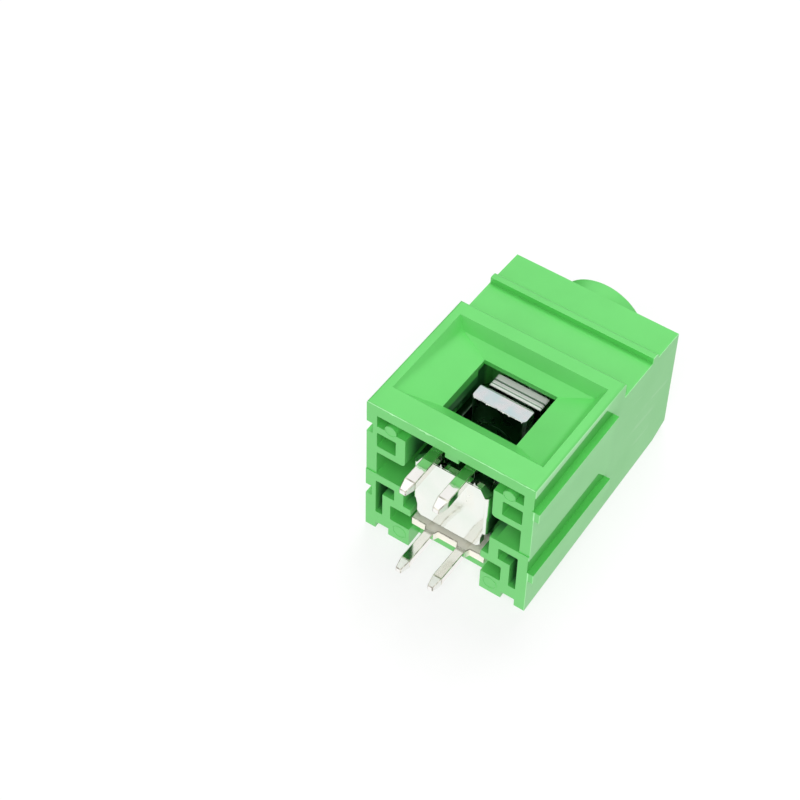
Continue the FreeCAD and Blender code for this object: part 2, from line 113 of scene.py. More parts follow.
# Painted shade: the dark metal of the pins' rounded edges, drawn as dark outlines
TIN_EDGE_SHADE = (0.300, 0.280, 0.240, 1)
CREAM = (0.930, 0.945, 0.895, 1)
CREAM_SHADE = (0.830, 0.900, 0.815, 1)
ZINC = (0.560, 0.700, 0.720, 1)
ZINC_PINK = (0.720, 0.700, 0.710, 1)
CUT_METAL = (0.940, 0.950, 0.920, 1)
# Painted shade: the dark green that stands for shade on the metal inside the block, round the plate and in
# the cage's lip lines
METAL_SHADE_GREEN = (0.090, 0.250, 0.125, 1)
BURR = (0.550, 0.580, 0.560, 1)
WHITE = (1, 1, 1, 1)

# The moulding's left side, right side and front face, in millimetres of the row frame
LEFT = -7.5
RIGHT = 7.5
FRONT = -7.285

# The wire channel and the hook pockets, where shade is painted: an axis, where the painted shade starts
# along it and where it is full
CHANNEL = (
    ("X", 4.47, 4.45),
    ("Y", -4.75, -4.50),
    ("Y", 3.90, 3.60),
    ("Z", 0.10, 1.60),
    ("Z", 11.50, 11.00),
)
POCKETS = (
    ("X", 6.58, 6.56),
    ("X", 5.25, 5.27),
    ("Y", 1.50, 1.52),
    ("Y", 5.62, 5.60),
    ("Z", 0.10, 0.80),
    ("Z", 8.60, 8.50),
)
POCKET_SHADE = 0.9

# The right side's frosted face, the ribs on it, its front strip where a highlight is painted, and the core
# line above which shade is painted
SIDE_START = 7.455
RIB_FLANK = (7.56, 7.95)
# Painted highlight: where the side's bright front strip lies and how it leans
STRIP_EDGE = (-6.285, -6.435)
STRIP_TOP = (10.7, 9.9)
STRIP_LEAN = 0.0357
# Painted shade: above these heights the frosted side is painted darker
CORE_SHADE_LINE = (11.1, 12.1)

# Faces that keep the mould's polish: where they lie, and how squarely they look along an axis
POLISHED_STRIP = (RIGHT - 0.12, RIGHT - 0.04)
POLISHED_FLANK = (RIGHT - 0.05, RIGHT + 0.45)
FLANK_TOP = 11.5
FACING = 0.9
EDGE_ON = 0.3

# Heights of the metal's zones, in millimetres above the board
FRONT_TIP = -2.9
BACK_TIP = -3.2
TIP_FADE = -0.04
DULL_START = 0.05
# Painted highlight: the cream band on the front pins' fold
FOLD_HIGHLIGHT_BAND = (0.46, 0.60)
# Painted shade: above this height the strip inside the block is darkened
STRIP_SHADE_START = 2.4
# Painted shade: above this height the cage's inside is darkened
CAGE_SHADE_START = 1.4
LIP_START = 9.05
# Painted shade: two dark lines on the cut ends at the cage's top
LIP_SHADE_LINES = ((9.36, 9.46), (9.78, 9.93))
# Painted shade: below this height the plate and the screw are darkened
PLATE_UNDERSIDE = 6.74
# Painted shade: a dark line in the plate's groove
PLATE_GROOVE = (7.97, 8.06)
PLATE_SHADE = 8.24

# Where the cut front of the cage's top layers starts and is full, in millimetres of the row frame
LIP_FRONT = (-3.97, -4.0)

# The four outer corners of the cage's sole, in millimetres
SOLE_EAR_START = 3.38
SOLE_EAR_TOP = 0.45
SOLE_CORNER = 3.06

# The screw's axis, shank and thread, in millimetres; the thread's half width is a share of its pitch
SCREW_PLACE = 6.1 + FRONT
THREAD_RADIUS = 1.95
THREAD_ROOT = 1.6
THREAD_PITCH = 0.7
THREAD_HALF_WIDTH = 0.47
THREAD_RUN_OUT = 0.42
SHANK_START = 8.45
SHANK_END = 15.1
SHANK_MARGIN = 0.1
SHANK_TOLERANCE = 0.02

# Ejector marks: distance from the middle, place along, height and radius; then a rim's offsets and heights
EJECTOR_MARKS = ((4.25, 13.7 + FRONT, 0.0, 0.6), (5.3, 2.2 + FRONT, 0.08, 0.5))
EJECTOR_RIM = ((-0.055, 0.01), (-0.02, -0.03), (0.02, -0.03), (0.055, 0.01))
EJECTOR_SIDES = 40

# Peaks of the ragged fins: place along the fin, height and half width, in millimetres
FLASH_PEAKS = (
    (2.2, 0.10, 0.22), (3.3, 0.04, 0.3), (4.9, 0.09, 0.2), (5.45, 0.12, 0.25),
    (7.9, 0.08, 0.3), (9.8, 0.03, 0.4), (12.0, 0.07, 0.3), (13.6, 0.04, 0.3),
)
PLATE_PEAKS = (
    (0.15, 0.08, 0.06), (0.55, 0.05, 0.05), (1.25, 0.12, 0.06), (1.45, 0.09, 0.04), (2.3, 0.05, 0.08),
    (2.75, 0.09, 0.05), (3.3, 0.10, 0.05), (3.85, 0.06, 0.06), (4.45, 0.17, 0.07),
)
SOLE_PEAKS = (
    (1.66, 0.40, 0.07), (2.3, 0.05, 0.1), (3.3, 0.04, 0.15), (4.68, 0.40, 0.07), (4.9, 0.10, 0.1),
)
FIN_WAVES = 2.1
LOWEST_FIN = 0.004
SOLE_FRONT = 3.74 + FRONT
SOLE_SPAN = (4.87, 10.13)

# How the solids' edges are rounded, in millimetres, and shaded
HOUSING_EDGE = 0.11
METAL_EDGE = 0.05
PIN_EDGE = 0.07
MERGE_DISTANCE = 0.0005
HOUSING_CREASE = math.radians(30)
METAL_CREASE = math.radians(5)
FLAT_ANGLE = math.radians(1)


def clear_startup_scene():
    for thing in list(bpy.data.objects):
        if thing.name in ("Cube", "Light", "Camera"):
            bpy.data.objects.remove(thing)


# Node helpers

def add_node(tree, kind, **values):
    """A node with its named settings and input values."""
    node = tree.nodes.new(kind)
    for name, value in values.items():
        if hasattr(node, name):
            setattr(node, name, value)
        else:
            node.inputs[name].default_value = value
    return node


def plug(tree, socket, value):
    """Links a value to a socket, or sets it where the value is plain."""
    if isinstance(value, bpy.types.NodeSocket):
        tree.links.new(value, socket)
    else:
        socket.default_value = value


def ramp(tree, value, low, high, to_low=0.0, to_high=1.0):
    """The value carried from one range to another, and held at its ends."""
    node = add_node(tree, "ShaderNodeMapRange")
    settings = (value, low, high, to_low, to_high)
    for name, setting in zip(("Value", "From Min", "From Max", "To Min", "To Max"), settings):
        plug(tree, node.inputs[name], setting)
    return node.outputs["Result"]


def between(tree, mask, at_none, at_full):
    """A value that follows a mask from one end to the other."""
    return ramp(tree, mask, 0.0, 1.0, at_none, at_full)


def calculate(tree, operation, first, second=0.0):
    node = add_node(tree, "ShaderNodeMath", operation=operation)
    plug(tree, node.inputs[0], first)
    plug(tree, node.inputs[1], second)
    return node.outputs[0]


def times(tree, first, second):
    return calculate(tree, "MULTIPLY", first, second)


def plus(tree, first, second):
    return calculate(tree, "ADD", first, second)


def larger(tree, first, second):
    return calculate(tree, "MAXIMUM", first, second)


def outside_of(tree, mask):
    return calculate(tree, "SUBTRACT", 1.0, mask)


def blend_colours(tree, factor, first, second):
    node = add_node(tree, "ShaderNodeMix", data_type="RGBA")
    sockets = [socket for socket in node.inputs if socket.type == "RGBA"]
    plug(tree, sockets[0], first)
    plug(tree, sockets[1], second)
    plug(tree, node.inputs["Factor"], factor)
    return [socket for socket in node.outputs if socket.type == "RGBA"][0]


def cloudy(tree, place, scale, detail=3.0, roughness=0.5, stretch=(1, 1, 1)):
    """Soft noise on a place. A stretch above one makes the pattern finer along that axis."""
    mapping = add_node(tree, "ShaderNodeMapping")
    plug(tree, mapping.inputs["Vector"], place)
    plug(tree, mapping.inputs["Scale"], stretch)
    texture = add_node(tree, "ShaderNodeTexNoise", Scale=1.0, Detail=detail, Roughness=roughness)
    plug(tree, texture.inputs["Scale"], scale)
    tree.links.new(mapping.outputs["Vector"], texture.inputs["Vector"])
    return texture.outputs["Fac"]


def object_place(tree):
    """The Object coordinates of a piece, which are metres of the row frame."""
    return tree.nodes.new("ShaderNodeTexCoord").outputs["Object"]


def axes_of(tree, place):
    """A place's distances across and along the block and its height, in metres of the row frame."""
    split = add_node(tree, "ShaderNodeSeparateXYZ")
    plug(tree, split.inputs["Vector"], place)
    return [split.outputs[axis] for axis in "XYZ"]


def fade(tree, distance, none, full):
    """A mask that grows from one place to another, both in millimetres."""
    return ramp(tree, distance, none * MM, full * MM)


def above(tree, distance, level, soft=0.03):
    return fade(tree, distance, level - soft, level + soft)


def below(tree, distance, level, soft=0.03):
    return fade(tree, distance, level + soft, level - soft)


def band(tree, distance, limits, soft=0.03):
    """A mask that is full between two places."""
    return times(tree, above(tree, distance, limits[0], soft), below(tree, distance, limits[1], soft))


def new_material(name):
    """A material with its tree and its Principled shader."""
    material = bpy.data.materials.new(name)
    material.use_nodes = True
    return material, material.node_tree, material.node_tree.nodes["Principled BSDF"]


def add_bump(tree, shader, height, depth, strength=0.5):
    """Bump whose depth is in millimetres."""
    node = add_node(tree, "ShaderNodeBump", Distance=depth * MM, Strength=strength)
    plug(tree, node.inputs["Height"], height)
    plug(tree, shader.inputs["Normal"], node.outputs["Normal"])


def new_group(name, inputs, outputs):
    """An empty shader node group with named sockets."""
    group = bpy.data.node_groups.new(name, "ShaderNodeTree")
    for socket_name, kind, value in inputs:
        socket = group.interface.new_socket(name=socket_name, in_out="INPUT", socket_type=kind)
        if value is not None:
            socket.default_value = value
    for socket_name in outputs:
        group.interface.new_socket(name=socket_name, in_out="OUTPUT", socket_type="NodeSocketFloat")
    entry = group.nodes.new("NodeGroupInput")
    end = group.nodes.new("NodeGroupOutput")
    return group, entry.outputs, end.inputs


def place_group(tree, group, **values):
    """The group as a node of a material, with its own values. Underscores stand for spaces."""
    node = tree.nodes.new("ShaderNodeGroup")
    node.node_tree = group
    for name, value in values.items():
        plug(tree, node.inputs[name.replace("_", " ")], value)
    return node.outputs


# Effects that the plastic and the metal share

def uneven_finish_group():
    """Broad clouds of tone and fine grain, as moulding and plating leave them."""
    inputs = [
        ("Place", "NodeSocketVector", None),
        ("Cloud Scale", "NodeSocketFloat", 200.0),
        ("Grain Scale", "NodeSocketFloat", 6000.0),
    ]
    group, entry, end = new_group("uneven_finish", inputs, ["Cloud", "Grain"])
    cloud = cloudy(group, entry["Place"], entry["Cloud Scale"], detail=4.0)
    grain = cloudy(group, entry["Place"], entry["Grain Scale"], detail=2.0)
    plug(group, end["Cloud"], ramp(group, cloud, 0.3, 0.7))
    plug(group, end["Grain"], grain)
    return group


def rub_marks_group():
    """Short faint strokes where a piece has rubbed against others."""
    inputs = [
        ("Place", "NodeSocketVector", None),
        ("Scale", "NodeSocketFloat", 700.0),
        ("Stretch", "NodeSocketVector", (1.0, 1.0, 1.0)),
        ("Threshold", "NodeSocketFloat", 0.6),
    ]
    group, entry, end = new_group("rub_marks", inputs, ["Mask"])
    noise = cloudy(group, entry["Place"], entry["Scale"], roughness=0.6, stretch=entry["Stretch"])
    strokes = ramp(group, noise, entry["Threshold"], plus(group, entry["Threshold"], 0.12))
    spread = cloudy(group, entry["Place"], times(group, entry["Scale"], 0.3), detail=2.0)
    plug(group, end["Mask"], times(group, strokes, ramp(group, spread, 0.45, 0.62)))
    return group


# Materials of the moulding

def side_masks(tree, place):
    """The right side's frosted face, its front strip where a highlight is painted, and its part above the
    core line, where shade is painted.
    """
    across, along, rise = axes_of(tree, place)
    on_side = above(tree, across, SIDE_START, soft=0.01)
    side = calculate(tree, "SUBTRACT", on_side, band(tree, across, RIB_FLANK, soft=0.01))
    leaning = plus(tree, along, times(tree, rise, STRIP_LEAN))
    strip = times(tree, fade(tree, leaning, *STRIP_EDGE), fade(tree, rise, *STRIP_TOP))
    return side, strip, fade(tree, rise, *CORE_SHADE_LINE)


def within(tree, distances, limits):
    """A mask for the space that a table of limits encloses."""
    mask = 1.0
    for axis, none, full in limits:
        mask = times(tree, mask, fade(tree, distances[axis], none, full))
    return mask


def painted_channel_shade(tree, place):
    """How far a point lies inside the wire channel or a hook pocket, where little light reaches; the mask
    for the shade painted there.
    """
    distances = dict(zip("XYZ", axes_of(tree, place)))
    distances["X"] = calculate(tree, "ABSOLUTE", distances["X"])
    pockets = times(tree, within(tree, distances, POCKETS), POCKET_SHADE)
    return larger(tree, within(tree, distances, CHANNEL), pockets)


def housing_material(finish, marks):
    """Green moulded plastic: satin faces in a deep tone and a paler frosted right side, with painted shade
    in the channel and pockets, a painted highlight on the side's front strip and painted shade on the side
    above the core line.
    """
    material, tree, shader = new_material("moulded_green")
    place = object_place(tree)
    tone = place_group(tree, finish, Place=place, Cloud_Scale=260.0, Grain_Scale=7000.0)
    cloud, grain = tone["Cloud"], tone["Grain"]
    stretch = (1.0, 1.7, 0.35)
    scuffs = place_group(tree, marks, Place=place, Scale=520.0, Stretch=stretch, Threshold=0.58)["Mask"]
    side, strip, shaded_upper = side_masks(tree, place)
    body = blend_colours(tree, cloud, DEEP_GREEN, GREEN)
    # Painted shade: above the core line the frosted face is darker
    frost_tone = plus(tree, times(tree, cloud, 0.35), times(tree, shaded_upper, 0.5))
    frost = blend_colours(tree, frost_tone, FROSTED_GREEN, FROSTED_DEEP)
    frost = blend_colours(tree, times(tree, scuffs, 0.5), frost, SCUFF_GREEN)
    # Painted highlight: the side's front strip is lifted towards the highlight green
    frost = blend_colours(tree, times(tree, strip, 0.8), frost, HIGHLIGHT_GREEN)
    outside = blend_colours(tree, side, body, frost)
    # Painted shade: the channel and the pockets are darkened in the colour itself
    colour = blend_colours(tree, painted_channel_shade(tree, place), outside, CHANNEL_SHADE_GREEN)
    plug(tree, shader.inputs["Base Color"], colour)
    haze = times(tree, side, between(tree, strip, 0.26, 0.06))
    plug(tree, shader.inputs["Roughness"], plus(tree, between(tree, cloud, 0.32, 0.40), haze))
    add_bump(tree, shader, plus(tree, grain, times(tree, scuffs, side)), 0.003)
    shader.inputs["Specular IOR Level"].default_value = 1.0
    return material


def two_tone_green(name, finish, clouds, grains, colours, roughness, bump, gloss):
    """Moulded plastic of two tones, for the places that differ from the moulding's broad faces."""
    material, tree, shader = new_material(name)
    tone = place_group(tree, finish, Place=object_place(tree), Cloud_Scale=clouds, Grain_Scale=grains)
    plug(tree, shader.inputs["Base Color"], blend_colours(tree, tone["Cloud"], *colours))
    plug(tree, shader.inputs["Roughness"], between(tree, tone["Cloud"], *roughness))
    add_bump(tree, shader, tone["Grain"], bump)
    shader.inputs["Specular IOR Level"].default_value = gloss
    return material


def housing_edge_highlight_material(finish):
    """The moulding's rounded edges, painted paler than its faces as a highlight."""
    colours = (EDGE_SHEEN_GREEN, HIGHLIGHT_GREEN)
    return two_tone_green("moulded_green_edge_highlights", finish, clouds=900.0, grains=7000.0,
                          colours=colours, roughness=(0.30, 0.40), bump=0.003, gloss=1.0)


def polished_material(finish):
    """The ribs' flanks and the strips in front of them, which keep the mould's polish."""
    colours = (POLISHED_GREEN, DEEP_GREEN)
    return two_tone_green("polished_green", finish, clouds=420.0, grains=5000.0,
                          colours=colours, roughness=(0.28, 0.36), bump=0.002, gloss=0.25)


# Materials of the metal

def plated_metal(name, finish, marks, clouds, grains, rub_scale, rub_stretch, threshold):
    """What a plated material starts from: its nodes, its axes, its clouds of tone and its rub marks."""
    material, tree, shader = new_material(name)
    place = object_place(tree)
    tone = place_group(tree, finish, Place=place, Cloud_Scale=clouds, Grain_Scale=grains)
    rubs = place_group(tree, marks, Place=place, Scale=rub_scale, Stretch=rub_stretch, Threshold=threshold)
    return material, tree, shader, axes_of(tree, place), tone, rubs["Mask"]


def tin_zones(tree, along, rise):
    """The strip's cut pin tips, its dull back, its part inside the block where shade is painted, and its
    fold where a highlight is painted.
    """
    back = above(tree, along, 0.0)
    tip = between(tree, back, FRONT_TIP * MM, BACK_TIP * MM)
    cut = fade(tree, calculate(tree, "SUBTRACT", rise, tip), 0.0, TIP_FADE)
    dull = times(tree, back, above(tree, rise, DULL_START, soft=0.35))
    inside = above(tree, rise, STRIP_SHADE_START, soft=0.2)
    fold = times(tree, outside_of(tree, back), band(tree, rise, FOLD_HIGHLIGHT_BAND))
    return cut, dull, inside, fold


def tin_material(finish, marks):
    """Tinned strip: bright pins with cut tips, and a duller folded part above the board."""
    material, tree, shader, axes, tone, rubs = plated_metal(
        "tin_plate", finish, marks, clouds=420.0, grains=5000.0,
        rub_scale=900.0, rub_stretch=(1.0, 1.0, 0.2), threshold=0.55)
    cut, dull, inside, fold = tin_zones(tree, axes[1], axes[2])
    colour = blend_colours(tree, tone["Cloud"], TIN_SHADE, TIN)
    mottled = blend_colours(tree, times(tree, rubs, 0.6), TIN_DULL, TIN_BROWN)
    # Painted shade inside the block and a painted highlight on the front pins' fold, both in the colour
    for zone, zone_colour in ((dull, mottled), (cut, TIN), (inside, METAL_SHADE_GREEN), (fold, CREAM)):
        colour = blend_colours(tree, zone, colour, zone_colour)
    plug(tree, shader.inputs["Base Color"], colour)
    rough = plus(tree, between(tree, tone["Cloud"], 0.06, 0.12), times(tree, rubs, 0.12))
    rough = plus(tree, rough, times(tree, dull, 0.30))
    rough = plus(tree, rough, times(tree, larger(tree, cut, fold), 0.32))
    plug(tree, shader.inputs["Roughness"], rough)
    matte = larger(tree, times(tree, cut, 0.45), times(tree, dull, 0.85))
    plug(tree, shader.inputs["Metallic"], outside_of(tree, matte))
    add_bump(tree, shader, plus(tree, tone["Grain"], rubs), 0.0015)
    return material


def cage_material(finish, marks):
    """Bright cream zinc, with rougher cut ends on the layers at the cage's top. Shade is painted on the
    cage's inside and in two dark lines on the cut ends.
    """
    material, tree, shader, axes, tone, rubs = plated_metal(
        "bright_zinc", finish, marks, clouds=300.0, grains=5000.0,
        rub_scale=800.0, rub_stretch=(1.0, 0.35, 1.0), threshold=0.54)
    along, rise = axes[1], axes[2]
    lips = times(tree, above(tree, rise, LIP_START), fade(tree, along, *LIP_FRONT))
    deep = times(tree, above(tree, rise, CAGE_SHADE_START, soft=0.4), outside_of(tree, lips))
    colour = blend_colours(tree, tone["Cloud"], CREAM_SHADE, CREAM)
    colour = blend_colours(tree, times(tree, rubs, 0.25), colour, TIN_DULL)
    # Painted shade on the cage's inside
    colour = blend_colours(tree, times(tree, deep, 0.7), colour, METAL_SHADE_GREEN)
    colour = blend_colours(tree, lips, colour, CUT_METAL)
    # Painted shade: dark lines where the cut layers meet
    for limits in LIP_SHADE_LINES:
        line = times(tree, band(tree, rise, limits, soft=0.02), lips)
        colour = blend_colours(tree, times(tree, line, 0.85), colour, METAL_SHADE_GREEN)
    plug(tree, shader.inputs["Base Color"], colour)
    rough = plus(tree, between(tree, tone["Cloud"], 0.07, 0.15), times(tree, rubs, 0.15))
    plug(tree, shader.inputs["Roughness"], plus(tree, rough, times(tree, lips, 0.35)))
    plug(tree, shader.inputs["Metallic"], outside_of(tree, lips))
    add_bump(tree, shader, plus(tree, tone["Grain"], rubs), 0.002, 0.6)
    return material


def zinc_material(name, finish, marks, is_plate):
    """Zinc with a blue to pink passivation. Shade is painted below the plate's front face, on the plate and
    the screw alike, and on the plate also in its groove and above its front face.
    """
    material, tree, shader, axes, tone, rubs = plated_metal(
        name, finish, marks, clouds=900.0, grains=4000.0,
        rub_scale=1100.0, rub_stretch=(0.4, 1.0, 1.0), threshold=0.55)
    rise = axes[2]
    colour = blend_colours(tree, tone["Cloud"], ZINC_PINK, ZINC)
    colour = blend_colours(tree, times(tree, rubs, 0.5), colour, CREAM)
    # Painted shade below the plate's front face
    colour = blend_colours(tree, below(tree, rise, PLATE_UNDERSIDE, soft=0.02), colour, METAL_SHADE_GREEN)
    if is_plate:
        # Painted shade in the plate's groove and above its front face
        groove = times(tree, band(tree, rise, PLATE_GROOVE, soft=0.02), 0.55)
        shade = larger(tree, groove, above(tree, rise, PLATE_SHADE, soft=0.02))
        colour = blend_colours(tree, shade, colour, METAL_SHADE_GREEN)
    plug(tree, shader.inputs["Base Color"], colour)
    rough = plus(tree, between(tree, tone["Cloud"], 0.24, 0.34), times(tree, rubs, 0.1))
    plug(tree, shader.inputs["Roughness"], rough)
    shader.inputs["Metallic"].default_value = 1.0
    add_bump(tree, shader, plus(tree, tone["Grain"], rubs), 0.002, 0.6)
    return material


def plain_metal(name, finish, colours, roughness, metallic):
    """A small metal part's finish: two tones and an even roughness."""
    material, tree, shader = new_material(name)
    tone = place_group(tree, finish, Place=object_place(tree), Cloud_Scale=2500.0, Grain_Scale=6000.0)
    plug(tree, shader.inputs["Base Color"], blend_colours(tree, tone["Cloud"], *colours))
    shader.inputs["Roughness"].default_value = roughness
    shader.inputs["Metallic"].default_value = metallic
    add_bump(tree, shader, tone["Grain"], 0.002)
    return material


# Pieces from the solids

def weigh_edges(shape, crease):
    """Marks the outer corners for rounding and shades only what is flatter than the crease as smooth."""
    layer = shape.edges.layers.float.new("bevel_weight_edge")
    for face in shape.faces:
        face.smooth = True
    for edge in shape.edges:
        angle = edge.calc_face_angle(0)
        edge.smooth = angle < crease
        if angle >= crease and edge.is_convex:
            edge[layer] = 1.0


def piece_of_mesh(mesh, name, materials):
    """A piece of the scene from a mesh, whose faces keep their material slots."""
    mesh.name = name
    slots = [face.material_index for face in mesh.polygons]
    mesh.materials.clear()
    for material in materials:
        mesh.materials.append(material)
    mesh.polygons.foreach_set("material_index", slots)
    piece = bpy.data.objects.new(name, mesh)
    bpy.context.scene.collection.objects.link(piece)
    return piece


def softened_copy(node, name, materials, crease, alter):
    """A copy of a CAD node with its flat faces whole again and its outer edges marked for rounding."""
    mesh = frame["nodes"][node].data.copy()
    shape = bmesh.new()
    shape.from_mesh(mesh)
    bmesh.ops.remove_doubles(shape, verts=shape.verts, dist=MERGE_DISTANCE * MM)
    bmesh.ops.dissolve_limit(shape, angle_limit=FLAT_ANGLE, verts=shape.verts, edges=shape.edges)
    weigh_edges(shape, crease)
    if alter:
        alter(shape)
    shape.to_mesh(mesh)
    shape.free()
    return piece_of_mesh(mesh, name, materials)


def round_edges(piece, radius, edge_slot):
    """Rounds a piece's marked edges, in the material of the given slot."""
    bevel = piece.modifiers.new("rounded_edges", "BEVEL")
    bevel.width = radius * MM
    bevel.segments = 2
    bevel.limit_method = "WEIGHT"
    bevel.harden_normals = True
    bevel.use_clamp_overlap = True
    bevel.material = edge_slot


def body_of_node(node):
    for body, nodes in frame["record"]["behaviour"]["bodies"].items():
        if node in nodes:
            return body


def polish_rib_flanks(shape):
    """Gives the ribs' front flanks and the strips before them the third material."""
    for face in shape.faces:
        centre = face.calc_center_median() / MM
        strip = POLISHED_STRIP[0] < centre.x < POLISHED_STRIP[1] and face.normal.x > FACING
        on_rib = POLISHED_FLANK[0] < centre.x < POLISHED_FLANK[1] and centre.z < FLANK_TOP
        flank = on_rib and abs(face.normal.x) < EDGE_ON and abs(face.normal.y) > FACING
        face.material_index = 2 if strip or flank else 0


def trim_sole_ears(shape):
    """Carries the walls' rounded lower edge on over the sole's four outer corners."""
    for corner in shape.verts:
        across, rise = corner.co.x / MM, corner.co.z / MM
        if abs(across) > SOLE_EAR_START and rise < SOLE_EAR_TOP:
            corner.co.x = math.copysign(SOLE_CORNER, across) * MM


def neck_down_shank(shape):
    """Turns the screw's shank down to the root of its thread."""
    for corner in shape.verts:
        across, along, rise = corner.co.x / MM, corner.co.y / MM - SCREW_PLACE, corner.co.z / MM
        radius = math.hypot(across, along)
        on_shank = SHANK_START - SHANK_MARGIN < rise < SHANK_END + SHANK_MARGIN
        if on_shank and abs(radius - THREAD_RADIUS) < SHANK_TOLERANCE:
            share = THREAD_ROOT / radius
            corner.co.x = across * share * MM
            corner.co.y = (along * share + SCREW_PLACE) * MM


def dress_node(node, name, materials, radius, crease, alter=None):
    """Puts a finished piece in a CAD node's place. Its second material, if any, goes on rounded edges."""
    piece = softened_copy(node, name, materials, crease, alter)
    round_edges(piece, radius, min(len(materials), 2) - 1)
    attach(piece, body_of_node(node))
    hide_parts(node)


# Small pieces that only the scene draws

def mesh_of_shape(shape, name):
    """The plain mesh of a shape, with its faces turned outwards."""
    bmesh.ops.recalc_face_normals(shape, faces=shape.faces)
    mesh = bpy.data.meshes.new(name)
    shape.to_mesh(mesh)
    shape.free()
    return mesh


def fin_corners(start, end, drop, thickness, peaks, step, low, seed):
    """Three corners at each step along a fin: the two sides of its foot and its ragged tip."""
    start, end, drop = Vector(start), Vector(end), Vector(drop).normalized()
    length = (end - start).length
    along = (end - start).normalized()
    outward = along.cross(drop)
    count = max(2, int(length / step))
    corners = []
    for index in range(count + 1):
        place = length * index / count
        height = low * (1 + hash_noise.noise(Vector((place * FIN_WAVES, seed, 0.3))))
        for centre, tall, half in peaks:
            height += tall * math.exp(-((place - centre) / half) ** 2)
        foot = start + along * place
        for side in (-0.5, 0.5):
            corners.append(foot + outward * thickness * side)
        corners.append(foot + drop * max(height, LOWEST_FIN))
    return corners, count


def ragged_fin(name, body, slot, material, **form):
    """A thin ragged fin along a line, such as moulding flash or a punched edge's burr."""
    corners, count = fin_corners(**form)
    faces = []
    for index in range(count):
        a, b = 3 * index, 3 * index + 3
        faces += [(a, b, b + 2, a + 2), (a + 2, b + 2, b + 1, a + 1), (a + 1, b + 1, b, a)]
    faces += [(0, 2, 1), (3 * count, 3 * count + 1, 3 * count + 2)]
    shape = bmesh.new()
    points = [shape.verts.new(corner * MM) for corner in corners]
    for face in faces:
        shape.faces.new([points[index] for index in face])
    piece = piece_of_mesh(mesh_of_shape(shape, name), name, [material])
    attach(piece, body)


def fins(flash_material, burr_material):
    """Moulding flash on the front's lower edge, and burrs on the punched plate and the cage's sole."""
    foot = FRONT + 0.03
    ragged_fin("moulding_flash", "base", "housing_green", flash_material,
               start=(LEFT + 0.1, foot, 0.03), end=(RIGHT - 0.1, foot, 0.03), drop=(0, -0.5, -1),
               thickness=0.06, peaks=FLASH_PEAKS, step=0.06, low=0.05, seed=0.0)
    low, high = (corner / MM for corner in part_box("pressure_plate"))
    foot, level = low.y + 0.02, low.z + 0.03
    ragged_fin("plate_burr", "plate", "clamp_zinc", burr_material,
               start=(low.x + 0.2, foot, level), end=(high.x - 0.2, foot, level), drop=(0, -0.2, -1),
               thickness=0.04, peaks=PLATE_PEAKS, step=0.03, low=0.07, seed=4.0)
    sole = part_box("clamp_cage")[0] / MM
    level = sole.z + 0.1
    left, right = (LEFT + place for place in SOLE_SPAN)
    ragged_fin("sole_burr", "cage", "clamp_zinc", burr_material,
               start=(left, SOLE_FRONT, level), end=(right, SOLE_FRONT, level), drop=(0, -1, -0.1),
               thickness=0.1, peaks=SOLE_PEAKS, step=0.05, low=0.03, seed=8.0)


def mark_rings(shape, across, along, level, radius):
    """The rings of corners that one round ejector mark's rim is made of, from its inside outwards."""
    rings = []
    for offset, rise in EJECTOR_RIM:
        reach = radius + offset
        ring = []
        for index in range(EJECTOR_SIDES):
            turn = 2 * math.pi * index / EJECTOR_SIDES
            place = (across + reach * math.cos(turn), along + reach * math.sin(turn), level + rise)
            ring.append(shape.verts.new(Vector(place) * MM))
        rings.append(ring)
    return rings


def ejector_marks(material):
    """The faint round rims that ejector pins leave on the back feet and the eye posts."""
    shape = bmesh.new()
    for across, along, level, radius in EJECTOR_MARKS:
        for side in (-1, 1):
            rings = mark_rings(shape, side * across, along, level, radius)
            for inner, outer in zip(rings, rings[1:] + rings[:1]):
                for index in range(EJECTOR_SIDES):
                    after = (index + 1) % EJECTOR_SIDES
                    face = shape.faces.new((inner[index], inner[after], outer[after], outer[index]))
                    face.smooth = True
    piece = piece_of_mesh(mesh_of_shape(shape, "ejector_marks"), "ejector_marks", [material])
    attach(piece, "base")


# The screw's thread

def set_input(modifier, name, value):
    """Sets a Geometry Nodes input by its socket's identifier."""
    for item in modifier.node_group.interface.items_tree:
        if item.item_type == "SOCKET" and item.in_out == "INPUT" and item.name == name:
            modifier[item.identifier] = value


def onward(tree, kind, geometry, **values):
    """The geometry passed through a node with its own values."""
    node = tree.nodes.new(kind)
    plug(tree, node.inputs["Geometry"], geometry)
    for name, value in values.items():
        plug(tree, node.inputs[name], value)
    return node.outputs["Geometry"]


def thread_path(tree, entry):
    """The helix that the thread follows, with its cross section held upright."""
    spiral = add_node(tree, "GeometryNodeCurveSpiral", Resolution=32)
    plug(tree, spiral.inputs["Rotations"], calculate(tree, "DIVIDE", entry["Length"], entry["Pitch"]))
    plug(tree, spiral.inputs["Start Radius"], entry["Root Radius"])
    plug(tree, spiral.inputs["End Radius"], entry["Root Radius"])
    plug(tree, spiral.inputs["Height"], entry["Length"])
    upright = add_node(tree, "GeometryNodeSetCurveNormal", mode="Z_UP")
    plug(tree, upright.inputs["Curve"], spiral.outputs["Curve"])
    return upright.outputs["Curve"]


def thread_profile(tree, entry):
    """The thread's pointed cross section, as deep as the thread and nearly half a pitch to each side."""
    diamond = add_node(tree, "GeometryNodeCurvePrimitiveCircle", Resolution=4, Radius=1.0)
    size = add_node(tree, "ShaderNodeCombineXYZ")
    plug(tree, size.inputs["X"], entry["Depth"])
    plug(tree, size.inputs["Y"], times(tree, entry["Pitch"], THREAD_HALF_WIDTH))
    plug(tree, size.inputs["Z"], 1.0)
    return onward(tree, "GeometryNodeTransform", diamond.outputs["Curve"], Scale=size.outputs["Vector"])


